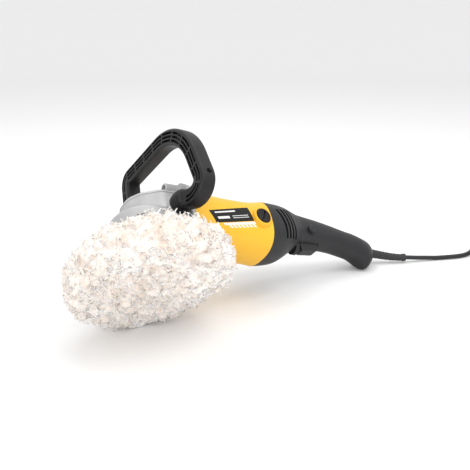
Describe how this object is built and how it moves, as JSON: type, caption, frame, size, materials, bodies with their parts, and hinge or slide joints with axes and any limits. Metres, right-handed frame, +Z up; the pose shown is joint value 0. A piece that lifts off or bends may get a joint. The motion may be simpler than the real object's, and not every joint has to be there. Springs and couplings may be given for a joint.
{
  "type": "rotary polisher",
  "caption": "Right-angle rotary polisher with a wool pad, D-shaped side handle, yellow motor housing, black rear grip with trigger, and a mains cord with plug.",
  "frame": {"origin": "centre of the footprint box, on the surface the machine lies on", "axes": "+X towards the rear grip and cord, +Z up; the machine lies on the rim of its pad and the heel of its grip"},
  "size_m": [0.7512, 0.3431, 0.2312],
  "materials": {
    "cast_aluminium": "cast, satin",
    "yellow_housing": "moulded, fine satin",
    "grip_plastic": "moulded, satin",
    "handle_plastic": "moulded, fine grain",
    "black_plastic": "moulded",
    "wool": "long twisted wool pile",
    "backing_rubber": "moulded",
    "cord_rubber": "extruded, matt",
    "copper": "enamelled copper wire and bars",
    "brass": "stamped",
    "nickel": "nickel-plated",
    "carbon": "pressed carbon",
    "circuit_board": "potted board",
    "core_steel": "stacked laminations",
    "steel": "turned"
  },
  "bodies": {
    "housing": {"gear_housing": "cast_aluminium", "housing_screw_1": "steel", "housing_screw_2": "steel", "housing_screw_3": "steel", "housing_screw_4": "steel", "bearing_cover": "cast_aluminium", "cover_screw_1": "steel", "cover_screw_2": "steel", "cover_screw_3": "steel", "cover_screw_4": "steel", "lower_spindle_bearing": "steel", "upper_spindle_bearing": "steel", "handle_bolt_left": "steel", "handle_bolt_right": "steel", "motor_housing": "yellow_housing", "brush_cap_left": "black_plastic", "brush_holder_left": "brass", "carbon_brush_left": "carbon", "brush_spring_left": "steel", "brush_cap_right": "black_plastic", "brush_holder_right": "brass", "carbon_brush_right": "carbon", "brush_spring_right": "steel", "front_bearing": "steel", "rear_bearing": "steel", "stator_core": "core_steel", "field_coil_upper": "copper", "field_coil_lower": "copper", "air_baffle": "black_plastic", "grip_shell_left": "grip_plastic", "grip_shell_right": "grip_plastic", "speed_dial_axle": "steel", "switch_body": "black_plastic", "speed_module": "circuit_board", "cord_clamp": "black_plastic", "strain_relief": "cord_rubber", "power_cord": "cord_rubber", "power_cord_tail": "cord_rubber", "cord_coil": "cord_rubber", "plug_body": "cord_rubber", "plug_pin_1": "nickel", "plug_pin_2": "nickel"},
    "armature": {"armature_shaft": "steel", "armature_core": "core_steel", "winding_front": "copper", "winding_rear": "copper", "commutator": "copper", "cooling_fan": "black_plastic", "bevel_pinion": "steel"},
    "pad_drive": {"spindle": "steel", "crown_gear": "steel", "pad_hub": "steel", "backing_pad": "backing_rubber", "wool_pad": "wool"},
    "side_handle": {"d_handle": "handle_plastic"},
    "trigger": {"trigger": "grip_plastic"},
    "lock_on_button": {"lock_on_button": "grip_plastic"},
    "spindle_lock_button": {"spindle_lock_button": "black_plastic"},
    "speed_dial": {"speed_dial": "grip_plastic"}
  },
  "joints": [
    {"name": "spindle_spin", "type": "hinge", "parent": "housing", "child": "pad_drive", "pos_m": [-0.12976, -0.00327, 0.13018], "axis": [0.1918, 0.7337, 0.6518], "continuous": true},
    {"name": "armature_spin", "type": "hinge", "parent": "housing", "child": "armature", "pos_m": [-0.12976, -0.00327, 0.13018], "axis": [0.9593, 0, -0.2823], "continuous": true},
    {"name": "side_handle_tilt", "type": "hinge", "parent": "housing", "child": "side_handle", "pos_m": [-0.10444, -0.00547, 0.1206], "axis": [-0.2072, 0.6794, -0.7039], "range_deg": [-30, 30]},
    {"name": "trigger_pull", "type": "hinge", "parent": "housing", "child": "trigger", "pos_m": [0.1022, -0.00767, 0.05765], "axis": [0.2072, -0.6794, 0.7039], "range_deg": [0, 10], "stiffness_Nm_per_rad": 1.2, "springref_deg": -8.59},
    {"name": "lock_on_press", "type": "slide", "parent": "housing", "child": "lock_on_button", "axis": [-0.2072, 0.6794, -0.7039], "range_m": [0, 0.003], "stiffness_N_per_m": 700, "springref_m": -0.002},
    {"name": "spindle_lock_press", "type": "slide", "parent": "housing", "child": "spindle_lock_button", "axis": [-0.1918, -0.7337, -0.6518], "range_m": [0, 0.003], "stiffness_N_per_m": 700, "springref_m": -0.002},
    {"name": "speed_dial_turn", "type": "hinge", "parent": "housing", "child": "speed_dial", "pos_m": [0.0905, -0.01207, 0.05685], "axis": [0.9593, 0, -0.2823], "range_deg": [0, 270]}
  ],
  "couplings": [
    {"joint": "armature_spin", "follows": "spindle_spin", "ratio": 4.2222}
  ]
}
